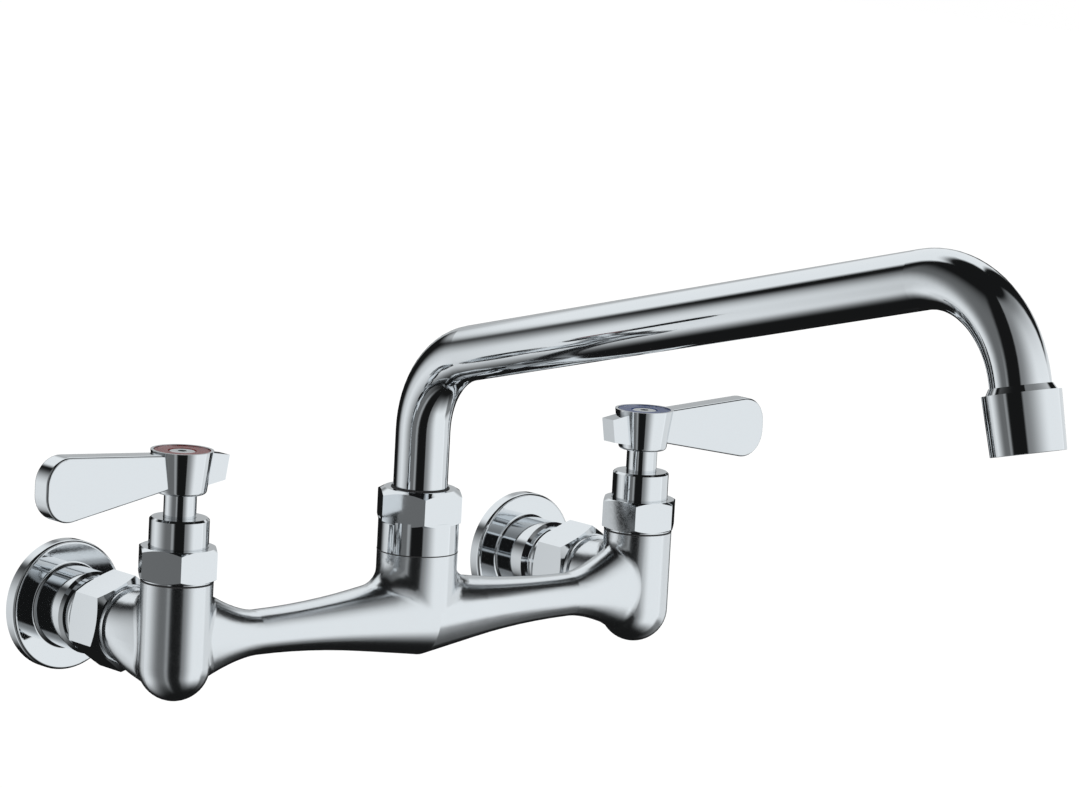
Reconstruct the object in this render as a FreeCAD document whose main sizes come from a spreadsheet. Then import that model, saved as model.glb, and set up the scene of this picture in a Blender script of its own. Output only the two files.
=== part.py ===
import FreeCAD, Part
import math
import os
import re
import Sketcher
from FreeCAD import Rotation, Vector

# Wall-mounted two-handle kitchen faucet with a swinging spout.
# Frame: X along the body to the right, Y into the wall, Z up.
# Origin: midway between the two inlets, on the wall, at the height of their axes.

# Driving sizes in millimetres and degrees: name, value, what it is.
SIZES = [
    ("inlet_centres", 203.2, "between the two wall inlets, eight inches"),
    ("stand_off", 64.5, "wall to the axis of the body and of its three towers"),
    ("thread_gap", 0.1, "radial gap of every threaded pair"),
    ("slip_gap", 0.08, "radial gap of every turning fit"),
    ("face_gap", 0.1, "gap between flat faces that turn on each other"),
    # Inlet flanges: a disc on the wall, a round boss and a threaded nose.
    ("flange_radius", 22.2, "disc against the wall"),
    ("flange_rim", 4.7, "thickness of the disc"),
    ("flange_edge", 1.2, "rounding of the disc's front edge"),
    ("boss_radius", 14.0, "round boss in front of the disc"),
    ("boss_end", 19.5, "wall to the front of the boss"),
    ("boss_root", 1.0, "rounding between boss and disc"),
    ("nose_radius", 12.3, "outside of the nose's thread"),
    ("nose_end", 33.0, "wall to the end of the nose"),
    ("inlet_thread", 9.15, "radius of the tapped inlet, half-inch pipe thread"),
    ("inlet_depth", 15.0, "depth of the tapped inlet"),
    ("water_way", 7.0, "radius of the way behind the tapped inlet"),
    ("washer_thick", 1.5, "flat washer of the union"),
    # Union nuts: they hang on the body's necks and draw them to the noses.
    ("union_flats", 28.2, "across the flats"),
    ("union_rear", 25.1, "wall to the nut's rear face"),
    ("union_front", 40.2, "wall to the nut's front face"),
    ("union_lip", 2.6, "thickness of the inward lip"),
    ("union_face", 13.6, "radius of the flat end faces inside the chamfer"),
    ("union_turn_hot", 22.4, "where the hot nut happens to stand"),
    ("union_turn_cold", 24.4, "where the cold nut happens to stand"),
    ("chamfer_slope", 30.0, "slope of every nut's corner chamfer"),
    # Body casting.
    ("neck_end_radius", 10.9, "neck inside the union nut"),
    ("neck_groove", 9.9, "bottom of the neck's ring groove"),
    ("ring_thick", 1.2, "split ring in the neck's groove"),
    ("ring_radius", 12.0, "outside of the split ring"),
    ("ring_split", 12.0, "angle missing from the split ring"),
    ("collar_radius", 13.2, "raised collar on the neck"),
    ("collar_width", 1.8, "width of that collar"),
    ("neck_step", 0.4, "how much wider the neck is than its tower"),
    ("neck_rise", 1.0, "rise of its upper side towards the tower"),
    ("neck_foot_lift", 1.6, "its foot ends this far above the tower's tip"),
    ("neck_curve", 0.6, "how fast its underside rises towards the collar"),
    ("tower_radius", 12.0, "outside of each valve tower"),
    ("tower_top", 19.4, "shoulder under the bonnet nut"),
    ("tower_tip", 20.6, "depth of the tower's rounded tip"),
    ("tower_thread", 10.6, "outside of the thread for the bonnet nut"),
    ("tower_rise", 7.0, "height of that thread"),
    ("arm_radius", 7.6, "arms next to the towers"),
    ("arm_drop", 1.0, "arm axis below the inlet axes"),
    ("arm_foot_lift", 3.2, "the arm's foot ends this far above the tower's tip"),
    ("arm_foot_drop", 0.6, "that foot starts this far below the tower's shoulder"),
    ("arm_foot_end", 32.0, "distance from the tower's axis where the foot has become the arm"),
    ("crown_curve", 1.5, "how fast the foot's upper side falls"),
    ("foot_start", 5.0, "neck and arm start this far from the tower's axis"),
    ("foot_step", 1.9, "how much slimmer both feet are than the tower"),
    ("foot_curve", 1.6, "how fast their flanks and the arm's underside slim"),
    ("foot_blend", 5.0, "rounding between a tower, its neck and its arm"),
    ("bar_middle", 14.3, "bar at its middle"),
    ("swell_reach", 68.0, "distance from the middle over which it grows"),
    ("hub_step", 0.5, "how much slimmer the middle tower is than the bar"),
    ("hub_top", 21.0, "shoulder under the spout nut"),
    ("hub_blend", 9.0, "rounding between the bar and the middle tower"),
    ("cone_margin", 2.0, "the bar is a plain cone this far beyond that rounding"),
    ("hub_thread", 12.3, "outside of the thread for the spout nut"),
    ("hub_rise", 11.0, "height of that thread"),
    ("hub_bore", 10.4, "bore that the spout's tail turns in"),
    ("hub_floor", 6.0, "depth of the middle chamber's floor"),
    ("valve_bore", 8.9, "bore of the valve chambers"),
    ("seat_depth", 1.0, "depth of the valve seat"),
    ("seat_web", 2.5, "thickness of the web that carries the seat"),
    ("seat_way", 4.5, "radius of the hole through the seat"),
    ("under_way", 6.2, "radius of the chamber under the seat"),
    ("under_depth", 11.0, "depth of the floor of that chamber"),
    ("neck_bore_end", 14.0, "neck bore stops this far from the tower axis"),
    ("port_radius", 3.5, "sloping port from the neck to the chamber under the seat"),
    ("port_start", 16.0, "distance of the port's start from the tower axis"),
    ("port_drop", 4.4, "depth of the port's start"),
    ("port_slope", 15.0, "slope of the port"),
    ("arm_bore", 4.4, "radius of the way through each arm"),
    ("arm_bore_rise", 1.5, "way through the arm above the arm axis"),
    # Valve cartridges.
    ("bonnet_flats", 24.6, "across the flats of the bonnet nut"),
    ("bonnet_base", 0.9, "height of the nut's round foot"),
    ("bonnet_foot", 11.7, "radius of that foot"),
    ("bonnet_rise", 11.6, "height of the nut, foot and all"),
    ("bonnet_lip", 2.4, "thickness of its inward lip"),
    ("bonnet_face", 12.3, "radius of its end faces inside the chamfer"),
    ("bonnet_turn_hot", 58.0, "where the hot bonnet nut happens to stand"),
    ("bonnet_turn_cold", 43.2, "where the cold bonnet nut happens to stand"),
    ("bonnet_washer", 1.0, "thickness of the washer on the tower"),
    ("housing_flange", 1.1, "thickness of the housing's flange"),
    ("housing_flange_radius", 10.4, "radius of that flange"),
    ("housing_radius", 8.8, "housing below its flange"),
    ("skirt_radius", 8.0, "slimmer skirt around the discs"),
    ("skirt_top", 14.5, "height where the skirt starts"),
    ("skirt_bottom", 0.5, "foot of the skirt, above the seat"),
    ("skirt_bore", 7.0, "bore of the skirt"),
    ("guide_foot", 13.0, "height where the stem's guide bore starts"),
    ("sleeve_radius", 9.9, "round sleeve above the bonnet nut"),
    ("sleeve_top", 40.7, "top of that sleeve"),
    ("sleeve_edge", 0.7, "chamfer of its top edge"),
    ("window_width", 7.0, "outlet windows of the skirt"),
    ("window_low", 5.3, "foot of the windows"),
    ("window_high", 8.9, "top of the windows"),
    ("gasket_thick", 3.6, "rubber seat gasket"),
    ("gasket_radius", 6.7, "its outside"),
    ("disc_radius", 6.8, "both ceramic discs"),
    ("disc_thick", 3.0, "each ceramic disc"),
    ("disc_hole", 2.1, "radius of the holes in the discs"),
    ("disc_hole_out", 3.9, "distance of those holes from the axis"),
    ("stem_radius", 5.4, "stem in its guide"),
    ("foot_radius", 6.6, "stem's foot on the disc"),
    ("foot_thick", 2.8, "thickness of that foot"),
    ("tongue_width", 2.8, "tongue that turns the disc"),
    ("tongue_depth", 1.2, "depth of the tongue in the disc's slot"),
    ("lug_width", 18.0, "angle of the stop lug in the skirt"),
    ("lug_radius", 6.0, "inner radius of that lug"),
    ("turn", 90.0, "turn of a handle between its stops"),
    ("stop_gap", 1.5, "play at each stop, in degrees"),
    ("stem_washer", 0.6, "slip washer on the stem's foot"),
    ("stem_ring", 0.84, "half thickness of the stem's sealing rings"),
    ("stem_ring_low", 24.0, "height of the lower sealing ring"),
    ("stem_ring_pitch", 5.0, "from the lower ring to the upper"),
    ("drive_square", 7.0, "square end of the stem"),
    ("drive_play", 0.1, "play of the handle on the square, each side"),
    ("drive_top", 56.8, "top of the square"),
    ("screw_radius", 1.9, "shank of the handle screw"),
    ("screw_length", 9.0, "shank below the stem's top"),
    # Handles.
    ("hub_foot", 48.5, "bottom of the handle's hub"),
    ("hub_foot_radius", 8.4, "its radius there"),
    ("hub_rim", 62.9, "top rim of the hub"),
    ("hub_rim_radius", 10.4, "its radius there"),
    ("hub_round", 1.2, "rounding of the hub's bottom edge"),
    ("hub_seat", 60.2, "seat of the screw's head"),
    ("recess_radius", 9.4, "recess for the coloured ring"),
    ("recess_depth", 1.1, "depth of that recess"),
    ("index_thick", 0.8, "coloured ring"),
    ("screw_head", 4.6, "radius of the screw's head"),
    ("screw_head_thick", 2.3, "thickness of that head"),
    ("screw_socket", 1.6, "radius of the head's hexagon socket"),
    ("socket_depth", 1.4, "depth of that socket"),
    ("screw_edge", 0.75, "rounding of the head's edge"),
    ("blade_thick", 7.4, "thickness of the lever's blade"),
    ("lever_reach", 55.5, "axis to the blade's tip"),
    ("blade_root", 7.0, "distance from the axis where the blade's edges start"),
    ("root_high", 62.0, "top edge of the blade at its root"),
    ("root_low", 50.6, "bottom edge of the blade at its root"),
    ("tip_high", 64.7, "top corner of the blade's tip"),
    ("tip_low", 40.9, "bottom corner of the blade's tip"),
    ("tip_round", 9.0, "rounding of the tip's corners"),
    ("blade_edge", 0.8, "rounding of the blade's faces"),
    ("stub_reach", 17.3, "axis to the end of the stub"),
    ("stub_high", 60.4, "top of the stub's end"),
    ("stub_low", 52.2, "bottom of the stub's end"),
    ("stub_cut", 1.4, "how far the stub's end leans back"),
    # Spout.
    ("spout_nut_flats", 27.0, "across the flats of the spout nut"),
    ("nut_skirt_top", 31.0, "top of its round skirt"),
    ("nut_top", 42.6, "top of the nut"),
    ("nut_face", 12.4, "radius of its top face inside the chamfer"),
    ("nut_lip", 4.9, "thickness of its inward lip"),
    ("nut_turn", 57.5, "where the spout nut happens to stand"),
    ("tube_radius", 9.3, "outside of the spout tube"),
    ("tube_wall", 1.2, "wall of the spout tube"),
    ("tube_foot", 22.0, "bottom of the tube in its tail"),
    ("spout_height", 86.2, "height of the first bend's corner"),
    ("spout_rise", 14.3, "slope of the straight run"),
    ("spout_run", 271.5, "corner to corner of the two bends"),
    ("first_bend", 31.0, "radius of the first bend"),
    ("last_bend", 34.0, "radius of the last bend"),
    ("drop_length", 11.5, "straight end below the last bend"),
    ("tail_foot", 6.0, "bottom of the spout's tail"),
    ("tail_way", 8.0, "water way through the tail"),
    ("tail_flange", 12.0, "radius of the tail's flange"),
    ("tail_flange_thick", 2.4, "thickness of that flange"),
    ("thrust_thick", 0.8, "ring under the flange"),
    ("tail_ring", 0.9, "half thickness of the tail's sealing rings"),
    ("tail_ring_low", 11.0, "height of the lower sealing ring"),
    ("tail_ring_pitch", 7.0, "from the lower ring to the upper"),
    # Aerator, measured down from its top face.
    ("aerator_length", 18.1, "length of the housing"),
    ("aerator_top", 11.95, "radius of the housing's top"),
    ("aerator_foot", 11.4, "radius of the housing's outlet end"),
    ("aerator_lip", 0.8, "thickness of the lip under the screen"),
    ("aerator_mouth", 9.0, "radius of the outlet"),
    ("adapter_radius", 10.7, "outside of the threaded adapter"),
    ("adapter_length", 8.0, "length of the adapter"),
    ("adapter_fillet", 2.0, "height of the joint's cone on the tube"),
    ("adapter_land", 0.3, "thickness of the cone's upper end"),
    ("seal_thick", 1.5, "aerator washer"),
    ("insert_radius", 9.9, "flow insert"),
    ("insert_thick", 5.2, "its thickness"),
    ("insert_holes", 8, "its holes"),
    ("insert_hole", 1.5, "radius of each hole"),
    ("insert_circle", 5.9, "radius of the circle that they lie on"),
    ("screen_thick", 0.8, "outlet screen"),
    ("screen_slot", 1.4, "width of each slot in the screen"),
    ("screen_pitch", 2.6, "from slot to slot"),
]
NAMES = {name for name, value, note in SIZES}
HUB_RADIUS = "(bar_middle - hub_step)"
CONE_START = f"({HUB_RADIUS} + hub_blend + cone_margin)"
CONE_SLOPE = f"((bar_middle - arm_radius) / ((swell_reach + {CONE_START}) / 2))"
NECK_RADIUS = "(tower_radius + neck_step)"
NECK_END = "(stand_off - union_front - face_gap - collar_width)"
CLOSE = 0.01
SIDES = {"hot": -1, "cold": 1}

doc = FreeCAD.newDocument("Faucet")
sheet = doc.addObject("Spreadsheet::Sheet", "Sizes")
pieces = []


def fill_sheet():
    for row, (name, value, note) in enumerate(SIZES, start=1):
        sheet.set(f"A{row}", note)
        sheet.set(f"B{row}", str(value))
        sheet.setAlias(f"B{row}", name)
    doc.recompute()


def cell(word):
    return "Sizes." + word[0] if word[0] in NAMES else word[0]


def bound(text):
    """The same sum, with each size named as a cell of the sheet."""
    return re.sub(r"[a-z_]+", cell, text)


def number(text):
    return float(sheet.evalExpression(bound(text)))


# Making pieces.

def new_body(node, x="0", y="0", z="0", tilt=None):
    """A body named after its node; tilt turns it about X."""
    body = doc.addObject("PartDesign::Body", node)
    body.Label = node
    place(body, x, y, z)
    if tilt:
        body.Placement.Rotation = Rotation(Vector(1, 0, 0), number(tilt))
        body.setExpression("Placement.Rotation.Angle", bound(tilt))
    pieces.append(body)
    return body


def place(item, x, y, z):
    for letter, text in zip("xyz", (x, y, z)):
        if text != "0":
            item.setExpression("Placement.Base." + letter, bound(text))


def origin_item(body, role):
    """One of the body's own planes or axes."""
    return next(item for item in body.Origin.OriginFeatures if item.Role == role)


def new_sketch(body, name, plane, shift=None):
    """A sketch on one of the body's own planes, moved by shift in the sketch's axes."""
    sketch = body.newObject("Sketcher::SketchObject", name)
    sketch.AttachmentSupport = [(origin_item(body, plane + "_Plane"), "")]
    sketch.MapMode = "FlatFace"
    for letter, text in (shift or {}).items():
        sketch.setExpression("AttachmentOffset.Base." + letter, bound(text))
    return sketch


def arc_between(start, end, radius):
    """The short arc from start to end: anticlockwise if radius is positive."""
    half = (end - start) * 0.5
    rise = max(radius * radius - half.Length ** 2, 0) ** 0.5
    left = Vector(-half.y, half.x, 0).normalize()
    centre = start + half + left * (rise if radius > 0 else -rise)
    first, last = (start, end) if radius > 0 else (end, start)
    angles = [math.atan2(point.y - centre.y, point.x - centre.x) for point in (first, last)]
    return Part.ArcOfCircle(Part.Circle(centre, Vector(0, 0, 1), abs(radius)), *angles)


def pin_point(rules, links, side, end, corner):
    """Tie one sketch point to its two sums."""
    for kind, axis, text in (("DistanceX", -2, corner[0]), ("DistanceY", -1, corner[1])):
        if text == "0":
            rules.append(Sketcher.Constraint("PointOnObject", side, end, axis))
        else:
            links.append((len(rules), text))
            rules.append(Sketcher.Constraint(kind, -1, 1, side, end, number(text)))


def outline(sketch, corners, closed=True):
    """Draw a line through corners (x, y) or (x, y, radius of the arc to the next corner)."""
    offset = sketch.GeometryCount
    points = [Vector(number(corner[0]), number(corner[1]), 0) for corner in corners]
    sides = len(corners) if closed else len(corners) - 1
    rules, links, ends = [], [], []
    for side in range(sides):
        start, end = points[side], points[(side + 1) % len(points)]
        radius = number(corners[side][2]) if len(corners[side]) == 3 else 0
        if radius:
            sketch.addGeometry(arc_between(start, end, radius), False)
        else:
            sketch.addGeometry(Part.LineSegment(start, end), False)
        ends.append((2, 1) if radius < 0 else (1, 2))
        pin_point(rules, links, side + offset, ends[side][0], corners[side])
        if radius:
            links.append((len(rules), f"abs({corners[side][2]})"))
            rules.append(Sketcher.Constraint("Radius", side + offset, abs(radius)))
    if not closed:
        pin_point(rules, links, sides - 1 + offset, ends[-1][1], corners[-1])
    for side in range(sides if closed else sides - 1):
        following = (side + 1) % sides
        rules.append(Sketcher.Constraint("Coincident", side + offset, ends[side][1],
                                         following + offset, ends[following][0]))
    before = sketch.ConstraintCount
    sketch.addConstraint(rules)
    for index, text in links:
        sketch.setExpression(f"Constraints[{before + index}]", bound(text))
    return sketch


def circle(sketch, x, y, radius):
    centre = Vector(number(x), number(y), 0)
    side = sketch.addGeometry(Part.Circle(centre, Vector(0, 0, 1), number(radius)), False)
    rules, links = [], []
    pin_point(rules, links, side, 3, (x, y))
    links.append((len(rules), radius))
    rules.append(Sketcher.Constraint("Radius", side, number(radius)))
    before = sketch.ConstraintCount
    sketch.addConstraint(rules)
    for index, text in links:
        sketch.setExpression(f"Constraints[{before + index}]", bound(text))
    return sketch


def turned(body, name, corners, plane="XZ", axis="V_Axis", shift=None, cut=False, sweep=None):
    """Revolve an outline about an axis of its own sketch."""
    sketch = outline(new_sketch(body, name + "_outline", plane, shift), corners)
    feature = body.newObject("PartDesign::Groove" if cut else "PartDesign::Revolution", name)
    feature.Profile = sketch
    feature.ReferenceAxis = (sketch, [axis])
    feature.Angle = 360
    if sweep:
        feature.setExpression("Angle", bound(sweep))
    doc.recompute()
    return feature


def padded(body, name, sketch, length, both=False, cut=False, backwards=False):
    """Push a sketch along its normal, or to both sides of its plane."""
    feature = body.newObject("PartDesign::Pocket" if cut else "PartDesign::Pad", name)
    feature.Profile = sketch
    if both:
        feature.SideType = "Symmetric"
    feature.Reversed = backwards
    feature.setExpression("Length", bound(length))
    doc.recompute()
    return feature


def drilled(body, name, radius, length, x="0", y="0", z="0", along=(0, 0, 1), tilt=None):
    """Cut a round way that starts at x, y, z; tilt is its slope below the horizontal, towards -Y."""
    hole = body.newObject("PartDesign::SubtractiveCylinder", name)
    hole.setExpression("Radius", bound(radius))
    hole.setExpression("Height", bound(length))
    hole.Placement.Rotation = Rotation(Vector(0, 0, 1), Vector(*along))
    if tilt:
        hole.Placement.Rotation = Rotation(Vector(1, 0, 0), number("90 + " + tilt))
        hole.setExpression("Placement.Rotation.Angle", bound("90 + " + tilt))
    place(hole, x, y, z)
    doc.recompute()
    return hole


def block(body, name, kind, length, width, height, low):
    """An upright box centred on the axis: kind is Additive or Subtractive."""
    box = body.newObject(f"PartDesign::{kind}Box", name)
    box.setExpression("Length", bound(length))
    box.setExpression("Width", bound(width))
    box.setExpression("Height", bound(height))
    place(box, f"-({length}) / 2", f"-({width}) / 2", low)
    doc.recompute()
    return box


def rounded(body, name, base, radius, chosen, kind="Fillet"):
    """Round or chamfer the edges of base that chosen picks by their bounding boxes."""
    edges = [f"Edge{index}" for index, edge in enumerate(base.Shape.Edges, start=1) if chosen(edge)]
    feature = body.newObject("PartDesign::" + kind, name)
    feature.Base = (base, edges)
    feature.setExpression("Radius" if kind == "Fillet" else "Size", bound(radius))
    doc.recompute()
    return feature


def is_circle(edge, radius, level, axis="z"):
    """True for a circle of that radius whose centre lies at that level along an axis."""
    curve = edge.Curve
    if not isinstance(curve, Part.Circle):
        return False
    same_level = abs(getattr(curve.Center, axis) - number(level)) < CLOSE
    return same_level and abs(curve.Radius - number(radius)) < CLOSE


def hexagon(sketch, flats, turned_by):
    """A regular hexagon about the sketch's centre."""
    corner = f"{flats} / 2 / cos(30)"
    return outline(sketch, [polar(corner, f"{turned_by} + {60 * side}") for side in range(6)])


def corner_chamfer(body, name, flats, face, level, plane, inward):
    """Cut a hexagon's corners to a cone that leaves a round face; inward is + or - along the axis."""
    corner = f"({flats} / 2 / cos(30) + 1)"
    depth = f"({corner} - {face}) * tan(chamfer_slope)"
    corners = [(face, level), (corner, f"{level} {inward} {depth}"), (corner, level)]
    return turned(body, name, corners, plane, cut=True)


def ring(node, inner, outer, low, high, plane="XZ", sweep=None, **where):
    """A plain flat ring."""
    body = new_body(node, **where)
    corners = [(inner, low), (outer, low), (outer, high), (inner, high)]
    turned(body, node + "_ring", corners, plane, sweep=sweep)
    return body


def round_blank(body, name, radius, low, high):
    """A plain round blank about the body's own axis."""
    return turned(body, name, [("0", low), (radius, low), (radius, high), ("0", high)])


def sealing_rings(node, radius, half, levels, x, y):
    """A pair of round sealing rings, kept as one node."""
    rings = []
    for index, level in enumerate(levels):
        item = doc.addObject("Part::Torus", f"{node}_{index + 1}")
        item.setExpression("Radius1", bound(radius))
        item.setExpression("Radius2", bound(half))
        place(item, x, y, level)
        rings.append(item)
    pair = doc.addObject("Part::Compound", node)
    pair.Label = node
    pair.Links = rings
    pieces.append(pair)
    doc.recompute()
    return pair


# Inlets: one set at each end, with its axis along Y.

def tower_x(side):
    return f"{SIDES[side]} * inlet_centres / 2"


def inlet_flange(side):
    body = new_body("inlet_flange_" + side, x=tower_x(side))
    solid = turned(body, "flange_turned", [
        ("inlet_thread", "0"),
        ("flange_radius", "0"),
        ("flange_radius", "-flange_rim"),
        ("boss_radius", "-flange_rim"),
        ("boss_radius", "-boss_end"),
        ("nose_radius", "-boss_end"),
        ("nose_radius", "-nose_end"),
        ("water_way", "-nose_end"),
        ("water_way", "-inlet_depth"),
        ("inlet_thread", "-inlet_depth"),
    ], "XY")
    solid = rounded(body, "flange_front", solid, "flange_edge",
                    lambda edge: is_circle(edge, "flange_radius", "-flange_rim", "y"))
    solid = rounded(body, "flange_root", solid, "boss_root",
                    lambda edge: is_circle(edge, "boss_radius", "-flange_rim", "y"))
    rounded(body, "boss_chamfer", solid, "boss_root",
            lambda edge: is_circle(edge, "boss_radius", "-boss_end", "y"), "Chamfer")


def union_nut(side):
    body = new_body("union_nut_" + side, x=tower_x(side))
    sketch = new_sketch(body, "hexagon", "XZ", {"z": "union_rear"})
    hexagon(sketch, "union_flats", "union_turn_" + side)
    padded(body, "nut_blank", sketch, "union_front - union_rear")
    corner_chamfer(body, "rear_chamfer", "union_flats", "union_face", "-union_rear", "XY", "-")
    corner_chamfer(body, "front_chamfer", "union_flats", "union_face", "-union_front", "XY", "+")
    turned(body, "nut_bore", [
        ("0", "-union_rear + 1"),
        ("nose_radius + thread_gap", "-union_rear + 1"),
        ("nose_radius + thread_gap", "-union_front + union_lip"),
        ("neck_end_radius + thread_gap", "-union_front + union_lip"),
        ("neck_end_radius + thread_gap", "-union_front - 1"),
        ("0", "-union_front - 1"),
    ], "XY", cut=True)


def union_washer(side):
    front = "-nose_end - washer_thick"
    ring("union_washer_" + side, "water_way", "neck_end_radius", "-nose_end", front, "XY", x=tower_x(side))


def neck_ring(side):
    lip = "-union_front + union_lip"
    ring("neck_ring_" + side, "neck_groove", "ring_radius", lip + " + ring_thick", lip, "XY",
         sweep="360 - ring_split", x=tower_x(side))


# Body casting: local origin on the bar's axis, below the spout.

def casting_tower(body, side):
    """A tower closed below by a round tip."""
    return turned(body, "tower_" + side, [
        ("0", "-tower_tip", "tower_radius"),
        ("tower_radius", "tower_radius - tower_tip"),
        ("tower_radius", "tower_top"),
        ("tower_thread", "tower_top"),
        ("tower_thread", "tower_top + tower_rise"),
        ("0", "tower_top + tower_rise"),
    ], shift={"x": tower_x(side)})


def oval(sketch, low, high, half_width):
    """An upright ellipse on the sketch's vertical axis, from one height to another."""
    middle = f"(({low}) + ({high})) / 2"
    half_height = f"(({high}) - ({low})) / 2"
    centre = Vector(0, number(middle), 0)
    peak = centre + Vector(0, number(half_height), 0)
    flank = centre + Vector(number(half_width), 0, 0)
    side = sketch.addGeometry(Part.Ellipse(peak, flank, centre), False)
    sketch.exposeInternalGeometry(side)
    rules, links = [Sketcher.Constraint("Vertical", side + 1)], []
    pin_point(rules, links, side, 3, ("0", middle))
    for line, text in ((side + 1, f"2 * ({half_height})"), (side + 2, f"2 * ({half_width})")):
        links.append((len(rules), text))
        rules.append(Sketcher.Constraint("Distance", line, number(text)))
    before = sketch.ConstraintCount
    sketch.addConstraint(rules)
    for index, text in links:
        sketch.setExpression(f"Constraints[{before + index}]", bound(text))
    return sketch


def flared(body, name, plane, ovals, end):
    """A smooth skin over ovals (shift, low, high, half width) to a circle (shift, height, radius)."""
    sketches = []
    for count, (shift, *sizes) in enumerate(ovals):
        sketches.append(oval(new_sketch(body, f"{name}_{count}", plane, shift), *sizes))
    shift, height, radius = end
    sketches.append(circle(new_sketch(body, name + "_end", plane, shift), "0", height, radius))
    feature = body.newObject("PartDesign::AdditiveLoft", name)
    feature.Profile = sketches[0]
    feature.Sections = sketches[1:]
    doc.recompute()
    return feature


def foot_steps(end):
    """Where a foot's ovals stand: their distance from the tower's axis and the share still to go."""
    shares = ("0", "0.25", "0.5", "0.75")
    return [(f"(foot_start + ({end} - foot_start) * {share})", f"(1 - {share})") for share in shares]


def casting_arm_foot(body, side):
    """The foot of an arm, deep and wide in the tower and slimming to the plain arm."""
    inward = "-" if SIDES[side] > 0 else "+"
    ovals = []
    for reach, left in foot_steps("arm_foot_end"):
        low = f"-arm_drop - arm_radius - (tower_tip - arm_foot_lift - arm_drop - arm_radius) * {left}^foot_curve"
        high = f"arm_radius - arm_drop + (tower_top - arm_foot_drop - arm_radius + arm_drop) * {left}^crown_curve"
        half_width = f"arm_radius + (tower_radius - foot_step - arm_radius) * {left}^foot_curve"
        ovals.append(({"z": f"{tower_x(side)} {inward} {reach}"}, low, high, half_width))
    end = ({"z": f"{tower_x(side)} {inward} arm_foot_end"}, "-arm_drop", "arm_radius")
    return flared(body, "arm_foot_" + side, "YZ", ovals, end)


def casting_neck(body, side):
    """The neck, from the tower's tip and flanks to the round end behind its collar."""
    ovals = []
    for reach, left in foot_steps(NECK_END):
        low = f"-{NECK_RADIUS} - (tower_tip - neck_foot_lift - {NECK_RADIUS}) * {left}^neck_curve"
        high = f"{NECK_RADIUS} + neck_rise * {left}^crown_curve"
        half_width = f"{NECK_RADIUS} + (tower_radius - foot_step - {NECK_RADIUS}) * {left}^foot_curve"
        ovals.append(({"x": tower_x(side), "z": f"-{reach}"}, low, high, half_width))
    end = ({"x": tower_x(side), "z": "-" + NECK_END}, "0", NECK_RADIUS)
    return flared(body, "neck_" + side, "XZ", ovals, end)


def casting_neck_end(body, side):
    """The neck's collar, then its plain end with a groove inside the union nut."""
    end = "stand_off - nose_end - washer_thick"
    shoulder = "stand_off - union_front - face_gap"
    groove = "stand_off - union_front + union_lip"
    return turned(body, "neck_end_" + side, [
        ("0", shoulder + " - collar_width"),
        ("collar_radius", shoulder + " - collar_width"),
        ("collar_radius", shoulder),
        ("neck_end_radius", shoulder),
        ("neck_end_radius", groove + " - face_gap"),
        ("neck_groove", groove + " - face_gap"),
        ("neck_groove", groove + " + ring_thick + face_gap"),
        ("neck_end_radius", groove + " + ring_thick + face_gap"),
        ("neck_end_radius", end),
        ("0", end),
    ], "XY", shift={"x": tower_x(side)})


def casting_bar(body, side):
    """Half of the bar: a plain arm, a long arc that swells from it, then a cone to the middle."""
    start = tower_x(side) + " - arm_foot_end"
    rise = f"({CONE_SLOPE} * (swell_reach - {CONE_START}) / 2)"
    swell_radius = f"(((swell_reach - {CONE_START})^2 + {rise}^2) / (2 * {rise}))"
    return turned(body, "bar_" + side, [
        ("0", "0"),
        (start, "0"),
        (start, "arm_radius"),
        ("swell_reach", "arm_radius", f"-{swell_radius}"),
        (CONE_START, f"arm_radius + {rise}"),
        ("0", "bar_middle"),
    ], axis="H_Axis", shift={"y": "-arm_drop"})


def mirrored(body):
    """The other half of the casting, mirrored about the spout's plane."""
    feature = body.newObject("PartDesign::Mirrored", "other_half")
    feature.TransformMode = "Whole shape"
    feature.MirrorPlane = (origin_item(body, "YZ_Plane"), [""])
    body.Tip = feature
    doc.recompute()
    return feature


def casting_hub(body):
    """Middle tower, rising from inside the bar."""
    return turned(body, "hub", [
        ("0", "-arm_drop"),
        (HUB_RADIUS, "-arm_drop"),
        (HUB_RADIUS, "hub_top"),
        ("hub_thread", "hub_top"),
        ("hub_thread", "hub_top + hub_rise"),
        ("0", "hub_top + hub_rise"),
    ])


def points_along(edge):
    """The ends and the middle of an edge."""
    first, last = edge.ParameterRange
    return [edge.valueAt(step) for step in (first, (first + last) / 2, last)]


def on_tower(point, side):
    """True for a point on a tower's wall or on its round tip."""
    radius = number("tower_radius")
    across = math.hypot(point.x - number(tower_x(side)), point.y)
    below = min(0, point.z - radius + number("tower_tip"))
    return abs(math.hypot(across, below) - radius) < CLOSE


def is_foot_seam(edge, side):
    """The seams that a neck and an arm make with their tower and with each other."""
    if edge.Length < CLOSE or isinstance(edge.Curve, (Part.Line, Part.Circle)):
        return False
    points = points_along(edge)
    x, neck, start = number(tower_x(side)), number(NECK_RADIUS), number("foot_start")
    beside_neck = all(0 < (x - point.x) * SIDES[side] < neck and point.y > start for point in points)
    return beside_neck or all(on_tower(point, side) for point in points)


def is_hub_seam(edge):
    """The seam between the bar and the middle tower: edges on the tower's wall that are not round."""
    if edge.Length < CLOSE or isinstance(edge.Curve, (Part.Line, Part.Circle)):
        return False
    radius = number(HUB_RADIUS)
    return all(abs(math.hypot(point.x, point.y) - radius) < CLOSE for point in points_along(edge))


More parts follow.
